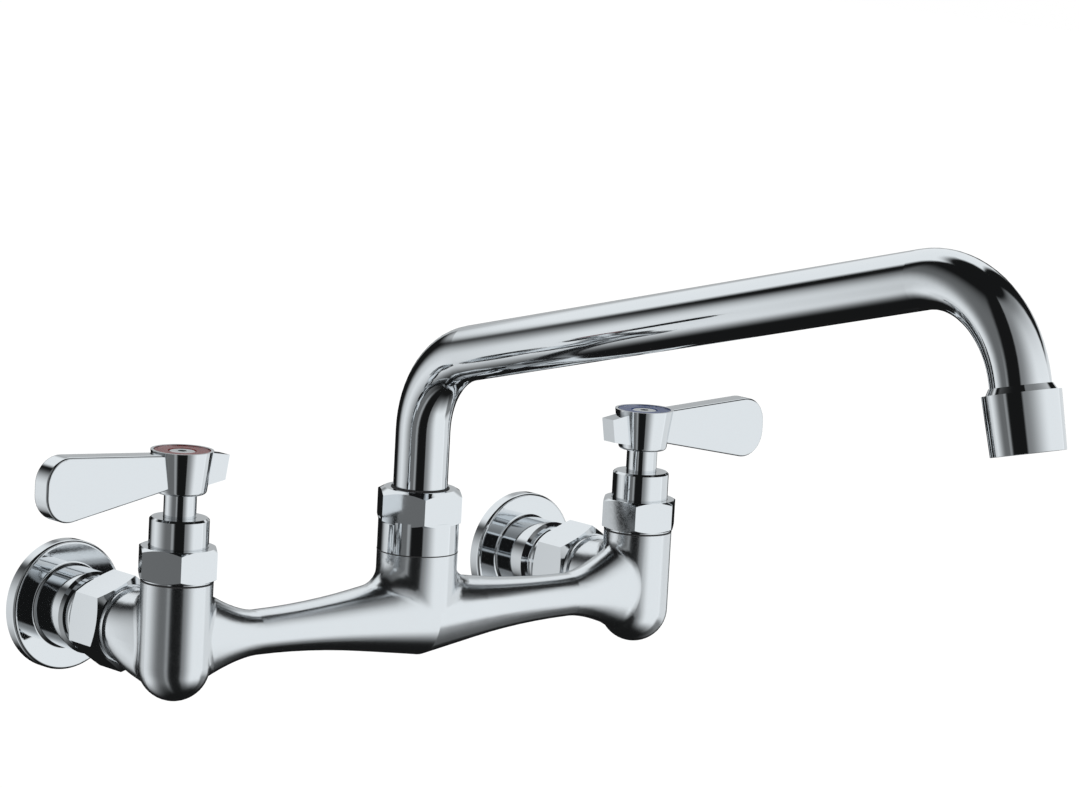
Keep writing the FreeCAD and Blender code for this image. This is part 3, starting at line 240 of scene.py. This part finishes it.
def plain_finish(name, dark, light, roughness, metallic=0.0, relief=0.00001, grain=700.0):
    """A finish that wanders between two colours and two roughnesses, with shallow pits."""
    material, tree, shader = new_material(name)
    shader.inputs["Metallic"].default_value = metallic
    surface = group_of(tree, speckle, Grain_Scale=grain)
    tone = mix_colours(tree, surface.outputs["Grain"], dark, light)
    tree.links.new(tone, shader.inputs["Base Color"])
    tree.links.new(spread(tree, surface.outputs["Grain"], *roughness), shader.inputs["Roughness"])
    add_relief(tree, shader, surface.outputs["Pits"], strength=0.6, distance=relief)
    return material


cut_brass = plain_finish(
    "brass_cut", dark=(0.50, 0.34, 0.11, 1.0), light=(0.72, 0.55, 0.25, 1.0), roughness=(0.18, 0.32),
    metallic=1.0, grain=500.0,
)
for side in SIDES:
    inlet = middle_of(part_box("inlet_flange_" + side))
    add_piece("nose_thread_" + side, thread_ridge(inlet, **NOSE_THREAD), turned_chrome, "body")
    add_piece("pipe_thread_" + side, thread_ridge(inlet, **PIPE_THREAD), cut_brass, "body")


# Union nuts: forged brass hexagons, milled, tumbled and plated; they pull the body against the flanges.
# A flat rubber washer seals between nose and neck, and a split spring-steel ring holds the nut on the neck.

nut_chrome = chrome_finish("chrome_nut", roughness=0.045, haze=0.03, wave_height=0.00002, wave_scale=60.0)
finish(nut_chrome, "union_nut_hot", "union_nut_cold")
black_rubber = plain_finish(
    "rubber_black", dark=(0.016, 0.016, 0.017, 1.0), light=(0.035, 0.035, 0.037, 1.0), roughness=(0.55, 0.75)
)
finish(black_rubber, "union_washer_hot", "union_washer_cold")
spring_steel = plain_finish(
    "steel_spring", dark=(0.48, 0.49, 0.50, 1.0), light=(0.62, 0.63, 0.64, 1.0), roughness=(0.22, 0.36),
    metallic=1.0, grain=1200.0,
)
finish(spring_steel, "neck_ring_hot", "neck_ring_cold")


# Body casting: one hollow brass casting, ground, polished by hand on a wheel and plated.
# The hand work leaves its mirror slightly wavy and a little softer than the turned pieces.

cast_chrome = chrome_finish("chrome_casting", roughness=0.17, haze=0.03, wave_height=0.0001, wave_scale=24.0)
finish(cast_chrome, "body_casting")


# Valves: each bonnet nut holds its cartridge down on a fibre-filled nylon washer.
# The cartridge housing and the stem are turned brass, plated where they are seen.
# A thin black rubber ring in the joint between the tower and each bonnet nut is painted shade: it stands in
# for the shadow in that gap.

finish(nut_chrome, "bonnet_nut_hot", "bonnet_nut_cold")
finish(turned_chrome, "cartridge_housing_hot", "cartridge_housing_cold", "valve_stem_hot", "valve_stem_cold")
pale_nylon = plain_finish(
    "nylon_pale", dark=(0.66, 0.65, 0.61, 1.0), light=(0.76, 0.75, 0.71, 1.0), roughness=(0.42, 0.58)
)
finish(pale_nylon, "bonnet_washer_hot", "bonnet_washer_cold", "stem_washer_hot", "stem_washer_cold")
finish(black_rubber, "seat_gasket_hot", "seat_gasket_cold", "stem_rings_hot", "stem_rings_cold")
JOINT_SHADE_RING = {"radius": 11.70, "thick": 0.36}
RING_SIDES = 12
FOOT, TOP = 0, 1


def rubber_shade_ring(name, box, end, radius, thick):
    """A round black rubber ring about the upright middle line of a box, level with its foot or its top:
    painted shade in a joint.
    """
    middle = middle_of(box)
    middle.z = box[end][2]
    ring = bmesh.new()
    bmesh.ops.create_circle(ring, cap_ends=False, segments=RING_SIDES, radius=thick * MM)
    turn_mesh(ring, 90.0, "X")
    bmesh.ops.translate(ring, verts=ring.verts, vec=middle + Vector((radius * MM, 0.0, 0.0)))
    bmesh.ops.spin(
        ring, geom=ring.verts[:] + ring.edges[:], cent=middle, axis=(0.0, 0.0, 1.0), angle=math.tau,
        steps=TURN_STEPS, use_merge=True, use_duplicate=False,
    )
    for face in ring.faces:
        face.smooth = True
    add_piece(name, ring, black_rubber, "body")


for side in SIDES:
    rubber_shade_ring("joint_shade_ring_" + side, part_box("bonnet_nut_" + side), FOOT, **JOINT_SHADE_RING)


# Valve discs: pressed and lapped alumina, two to a valve, the upper one turned by the stem's tongue.

lapped_ceramic = plain_finish(
    "ceramic_lapped", dark=(0.86, 0.85, 0.81, 1.0), light=(0.93, 0.92, 0.89, 1.0), roughness=(0.12, 0.22),
    relief=0.000004, grain=1600.0,
)
finish(lapped_ceramic, "fixed_disc_hot", "fixed_disc_cold", "turning_disc_hot", "turning_disc_cold")


# Levers: forged brass blades with a conical hub, polished flat on their faces and plated.
# A socket screw in the hub's recess holds each one on the square of its stem.

lever_chrome = chrome_finish("chrome_lever", roughness=0.04, haze=0.03, wave_height=0.00004, wave_scale=30.0)
finish(lever_chrome, "lever_hot", "lever_cold")
screw_chrome = chrome_finish("chrome_screw", roughness=0.12, haze=0.06, wave_height=0.00002, wave_scale=80.0)
finish(screw_chrome, "handle_screw_hot", "handle_screw_cold")


# Index rings: anodised aluminium discs, red for hot and blue for cold, turned with fine rings.

# A Wave texture of scale 1 draws WAVE_RATE rings in a length of pi.
RING_PITCH = 0.55
WAVE_RATE = 10.0
RING_COLOURS = {
    "hot": ((0.13, 0.018, 0.020, 1.0), (0.30, 0.045, 0.045, 1.0)),
    "cold": ((0.012, 0.030, 0.12, 1.0), (0.035, 0.080, 0.27, 1.0)),
}


def ring_finish(name, dark, light, middle):
    """Coloured anodising over fine rings that the lathe left about the valve's axis."""
    material, tree, shader = new_material(name)
    shader.inputs["Metallic"].default_value = 0.35
    place = tree.nodes.new("ShaderNodeTexCoord")
    centred = node_of(tree, "ShaderNodeMapping", Location=-middle)
    tree.links.new(place.outputs["Object"], centred.inputs["Vector"])
    rings = node_of(tree, "ShaderNodeTexWave", Scale=math.pi / (WAVE_RATE * RING_PITCH * MM), Distortion=0.0)
    rings.wave_type = "RINGS"
    rings.rings_direction = "Z"
    tree.links.new(centred.outputs["Vector"], rings.inputs["Vector"])
    tree.links.new(mix_colours(tree, rings.outputs["Fac"], dark, light), shader.inputs["Base Color"])
    surface = group_of(tree, speckle)
    tree.links.new(spread(tree, surface.outputs["Grain"], 0.24, 0.36), shader.inputs["Roughness"])
    add_relief(tree, shader, rings.outputs["Fac"], strength=0.4, distance=0.00003)
    return material


for side, (dark, light) in RING_COLOURS.items():
    ring_middle = middle_of(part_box("index_ring_" + side))
    finish(ring_finish("anodised_" + side, dark, light, ring_middle), "index_ring_" + side)


# Spout: a drawn brass tube bent on a mandrel, brazed into a turned tail that swings in the middle tower.
# The spout nut keeps the tail down between an acetal thrust ring and a bushing; two rubber rings seal it.
# Thin black rubber rings at the mouth of the nut around the tube and in the joint under its skirt are painted
# shade for the shadow in those gaps.

MOUTH_SHADE_RING = {"radius": 9.68, "thick": 0.36}
SKIRT_SHADE_RING = {"radius": 13.68, "thick": 0.24}

tube_chrome = chrome_finish("chrome_tube", roughness=0.04, haze=0.03, wave_height=0.00004, wave_scale=20.0)
finish(tube_chrome, "spout_tube", "spout_nut")
finish(cut_brass, "spout_tail")
finish(black_rubber, "spout_rings")
white_acetal = plain_finish(
    "acetal_white", dark=(0.74, 0.74, 0.72, 1.0), light=(0.83, 0.83, 0.81, 1.0), roughness=(0.34, 0.48)
)
finish(white_acetal, "thrust_ring", "swivel_bushing")

rubber_shade_ring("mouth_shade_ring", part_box("spout_nut"), TOP, **MOUTH_SHADE_RING)
rubber_shade_ring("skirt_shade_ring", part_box("spout_nut"), FOOT, **SKIRT_SHADE_RING)


# Aerator: a plated housing on the tube's threaded joint, with a washer, a flow insert and a steel screen.
# Woven steel gauze lies under the screen, just inside the lip; its wires pass over and under each other.

# A wire gets STEPS_PER_WAVE cuts from one crossing to the next. Its edges that are longer than LONG_SHARE of
# the wire run along it, and those are cut.
WIRE = {"thick": 0.17, "pitch": 1.18, "sides": 6, "wave": 0.17, "reach": 8.85, "below": 0.82}
STEPS_PER_WAVE = 4.0
LEAST_STEPS = 3
LONG_SHARE = 0.9
OUTLET_LEAN = Matrix.Rotation(math.radians(-14.3), 3, "X")

finish(turned_chrome, "outlet_adapter", "aerator_housing")
finish(black_rubber, "aerator_washer")
finish(white_acetal, "aerator_insert")
finish(spring_steel, "aerator_screen")


def woven_wire(length, phase):
    """One wire of the gauze along X, waved over and under the wires that it crosses."""
    wire = bmesh.new()
    bmesh.ops.create_cone(
        wire, cap_ends=True, segments=WIRE["sides"], radius1=WIRE["thick"], radius2=WIRE["thick"], depth=length
    )
    long_edges = [edge for edge in wire.edges if edge.calc_length() > LONG_SHARE * length]
    cuts = max(LEAST_STEPS, round(STEPS_PER_WAVE * length / WIRE["pitch"]))
    bmesh.ops.subdivide_edges(wire, edges=long_edges, cuts=cuts, use_grid_fill=True)
    turn_mesh(wire, 90.0, "Y")
    for vert in wire.verts:
        vert.co.z += WIRE["wave"] * math.cos(math.pi * vert.co.x / WIRE["pitch"] + phase)
    return wire


def lay_wires(gauze, degrees, phase):
    """One set of parallel wires of the gauze, turned about Z."""
    count = int(WIRE["reach"] / WIRE["pitch"])
    for index in range(-count, count + 1):
        offset = index * WIRE["pitch"]
        wire = woven_wire(2.0 * math.sqrt(WIRE["reach"] ** 2 - offset ** 2), math.pi * index + phase)
        bmesh.ops.translate(wire, verts=wire.verts, vec=(0.0, offset, 0.0))
        turn_mesh(wire, degrees, "Z")
        laid = bpy.data.meshes.new("wire")
        wire.to_mesh(laid)
        wire.free()
        gauze.from_mesh(laid)
        bpy.data.meshes.remove(laid)


below_screen = OUTLET_LEAN @ Vector((0.0, 0.0, WIRE["below"] * MM))
outlet = middle_of(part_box("aerator_screen")) - below_screen
gauze = bmesh.new()
lay_wires(gauze, 0.0, phase=0.0)
lay_wires(gauze, 90.0, phase=math.pi)
bmesh.ops.scale(gauze, verts=gauze.verts, vec=(MM, MM, MM))
bmesh.ops.rotate(gauze, verts=gauze.verts, cent=(0.0, 0.0, 0.0), matrix=OUTLET_LEAN)
bmesh.ops.translate(gauze, verts=gauze.verts, vec=outlet)
for face in gauze.faces:
    face.smooth = True
add_piece("outlet_gauze", gauze, spring_steel, "spout")


# Studio surround: plain white light from all sides, and a dark tent with lit panels that only mirrors see.
# Chrome shows what stands around it: the panels are soft boxes and the white sweep behind the faucet,
# and the dark cloth between them draws the black lines along tube, nuts and casting.

# Directions and angles of the tent are seen from the camera, whose azimuth comes first.
AZIMUTH = math.radians(-41.449)
toward = Vector((math.sin(AZIMUTH), -math.cos(AZIMUTH), 0.0))
across = Vector((math.cos(AZIMUTH), math.sin(AZIMUTH), 0.0))
TENT = {"radius": 0.65, "foot": -0.35, "top": 1.89, "sides": 96}
TENT_MIDDLE = across * 0.05 - toward * 0.05
CLOTH_TONE = 0.010
CLOTH_COLOUR = (0.955, 0.985, 1.0, 1.0)
FLOOR_FADE = (0.15, 0.55)

# Each panel: its sides fade in and out in degrees from the camera, its foot and top in metres, its tone.
PANELS = [
    ((11.0, 15.0), (88.0, 98.0), (-0.75, -0.40), (0.80, 1.50), 0.24),
    ((15.0, 50.0), (88.0, 98.0), (-0.75, -0.40), (0.15, 0.90), 0.72),
    ((-92.0, -80.0), (-22.0, -13.0), (-0.75, -0.40), (0.30, 0.95), 0.15),
    ((-120.0, -92.0), (-82.0, -38.0), (-0.60, -0.40), (-0.02, 0.42), 0.74),
    ((-27.0, -23.0), (-20.0, -16.0), (-0.75, -0.40), (-0.05, 0.30), 0.20),
    ((132.0, 140.0), (181.0, 182.0), (0.30, 0.46), (1.35, 1.85), 0.95),
    ((-182.0, -181.0), (-112.0, -98.0), (0.30, 0.50), (1.20, 1.85), 0.95),
    ((150.0, 160.0), (181.0, 182.0), (0.03, 0.12), (0.28, 0.46), 0.50),
    ((-182.0, -181.0), (-160.0, -150.0), (0.03, 0.12), (0.28, 0.50), 0.50),
    ((88.0, 96.0), (138.0, 152.0), (-0.42, -0.22), (0.16, 0.26), 0.82),
]

world = bpy.data.worlds.new("studio")
bpy.context.scene.world = world
world.use_nodes = True
world.node_tree.nodes["Background"].inputs["Color"].default_value = (1.0, 1.0, 1.0, 1.0)
world.node_tree.nodes["Background"].inputs["Strength"].default_value = 1.0


def fade(tree, value, first, last):
    """A soft step: nothing at first, full at last."""
    step = node_of(tree, "ShaderNodeMapRange", From_Min=min(first, last), From_Max=max(first, last))
    step.interpolation_type = "SMOOTHSTEP"
    step.inputs["To Min"].default_value = 0.0 if first < last else 1.0
    step.inputs["To Max"].default_value = 1.0 if first < last else 0.0
    tree.links.new(value, step.inputs["Value"])
    return step.outputs["Result"]


def combine(tree, operation, first, second):
    """One math node on two sockets, or on a socket and a number."""
    made = tree.nodes.new("ShaderNodeMath")
    made.operation = operation
    for index, value in enumerate((first, second)):
        if isinstance(value, float):
            made.inputs[index].default_value = value
        else:
            tree.links.new(value, made.inputs[index])
    return made.outputs["Value"]


def object_pose(x_axis, y_axis, z_axis, origin):
    """The matrix that lays an object's axes along three directions and its origin on a place."""
    return Matrix.Translation(origin) @ Matrix((x_axis, y_axis, z_axis)).transposed().to_4x4()


def tent_cloth():
    """Glowing cloth: its strength is the sum of the panels by angle and height, dimmer towards the floor."""
    material, tree, shader = new_material("tent_cloth")
    tree.nodes.remove(shader)
    place = tree.nodes.new("ShaderNodeTexCoord")
    split = tree.nodes.new("ShaderNodeSeparateXYZ")
    tree.links.new(place.outputs["Object"], split.inputs["Vector"])
    nearer = combine(tree, "MULTIPLY", split.outputs["Y"], -1.0)
    angle = combine(tree, "ARCTAN2", split.outputs["X"], nearer)
    degrees = combine(tree, "MULTIPLY", angle, 180.0 / math.pi)
    flat = tree.nodes.new("ShaderNodeCombineXYZ")
    tree.links.new(split.outputs["X"], flat.inputs["X"])
    tree.links.new(split.outputs["Y"], flat.inputs["Y"])
    reach = tree.nodes.new("ShaderNodeVectorMath")
    reach.operation = "LENGTH"
    tree.links.new(flat.outputs["Vector"], reach.inputs[0])
    lit = None
    for side_in, side_out, foot, head, tone in PANELS:
        rising, falling = fade(tree, degrees, *side_in), fade(tree, degrees, *reversed(side_out))
        wide = combine(tree, "MULTIPLY", rising, falling)
        above, below = fade(tree, split.outputs["Z"], *foot), fade(tree, split.outputs["Z"], *reversed(head))
        tall = combine(tree, "MULTIPLY", above, below)
        panel = combine(tree, "MULTIPLY", combine(tree, "MULTIPLY", wide, tall), tone)
        lit = panel if lit is None else combine(tree, "ADD", lit, panel)
    lit = combine(tree, "MULTIPLY", lit, fade(tree, reach.outputs["Value"], *FLOOR_FADE))
    lit = combine(tree, "ADD", lit, CLOTH_TONE)
    glow = node_of(tree, "ShaderNodeEmission", Color=CLOTH_COLOUR)
    tree.links.new(lit, glow.inputs["Strength"])
    tree.links.new(glow.outputs["Emission"], tree.nodes["Material Output"].inputs["Surface"])
    return material


cloth = bmesh.new()
bmesh.ops.create_cone(
    cloth, cap_ends=True, segments=TENT["sides"], radius1=TENT["radius"], radius2=TENT["radius"],
    depth=TENT["top"] - TENT["foot"],
)
bmesh.ops.translate(cloth, verts=cloth.verts, vec=(0.0, 0.0, (TENT["top"] + TENT["foot"]) / 2))
tent_mesh = bpy.data.meshes.new("tent")
cloth.to_mesh(tent_mesh)
cloth.free()
tent = bpy.data.objects.new("tent", tent_mesh)
bpy.context.scene.collection.objects.link(tent)
tent.matrix_world = object_pose(across, -toward, Vector((0.0, 0.0, 1.0)), TENT_MIDDLE)
tent_mesh.materials.append(tent_cloth())
tent.visible_camera = False
tent.visible_diffuse = False
tent.visible_shadow = False
tent.visible_transmission = False


# Floor: a wide matt white sheet under the faucet. What looks at it directly sees it a little lifted.
# It keeps the soft shadow of the faucet.

FLOOR_LEVEL = -0.36
FLOOR_REACH = 6.0
FLOOR_LIFT = 0.12

sheet = bmesh.new()
bmesh.ops.create_grid(sheet, x_segments=1, y_segments=1, size=FLOOR_REACH)
bmesh.ops.translate(sheet, verts=sheet.verts, vec=(0.0, 0.0, FLOOR_LEVEL))
floor_mesh = bpy.data.meshes.new("floor")
sheet.to_mesh(floor_mesh)
sheet.free()
floor = bpy.data.objects.new("floor", floor_mesh)
bpy.context.scene.collection.objects.link(floor)

pale, floor_tree, floor_shader = new_material("floor_pale")
floor_shader.inputs["Base Color"].default_value = (0.92, 0.92, 0.92, 1.0)
floor_shader.inputs["Roughness"].default_value = 0.9
floor_shader.inputs["Specular IOR Level"].default_value = 0.0
floor_shader.inputs["Emission Color"].default_value = (1.0, 1.0, 1.0, 1.0)
rays = floor_tree.nodes.new("ShaderNodeLightPath")
seen = combine(floor_tree, "MAXIMUM", rays.outputs["Is Camera Ray"], rays.outputs["Is Glossy Ray"])
seen = combine(floor_tree, "MAXIMUM", seen, rays.outputs["Is Transmission Ray"])
lift = combine(floor_tree, "MULTIPLY", seen, FLOOR_LIFT)
floor_tree.links.new(lift, floor_shader.inputs["Emission Strength"])
floor_mesh.materials.append(pale)


# Camera: a long lens at the photograph's place.
# Its place, turn and length were fitted to points of the flanges, towers, nuts, tube and levers.

PHOTO_WIDTH = 1079
ELEVATION = math.radians(8.947)
ROLL = math.radians(3.036)
DISTANCE = 1.59193
TARGET = Vector((0.042069, -0.075473, 0.073679))
FOCAL_PIXELS = 4639.63
SENSOR = 36.0

back = toward * math.cos(ELEVATION) + Vector((0.0, 0.0, math.sin(ELEVATION)))
up = back.cross(across)
right = across * math.cos(ROLL) + up * math.sin(ROLL)
top = up * math.cos(ROLL) - across * math.sin(ROLL)
stand = TARGET + back * DISTANCE
lens = bpy.data.cameras.new("camera")
lens.sensor_width = SENSOR
lens.lens = SENSOR * FOCAL_PIXELS / PHOTO_WIDTH
camera = bpy.data.objects.new("camera", lens)
bpy.context.scene.collection.objects.link(camera)
camera.matrix_world = object_pose(right, top, back, stand)
bpy.context.scene.camera = camera
bpy.context.scene.view_settings.view_transform = "Standard"
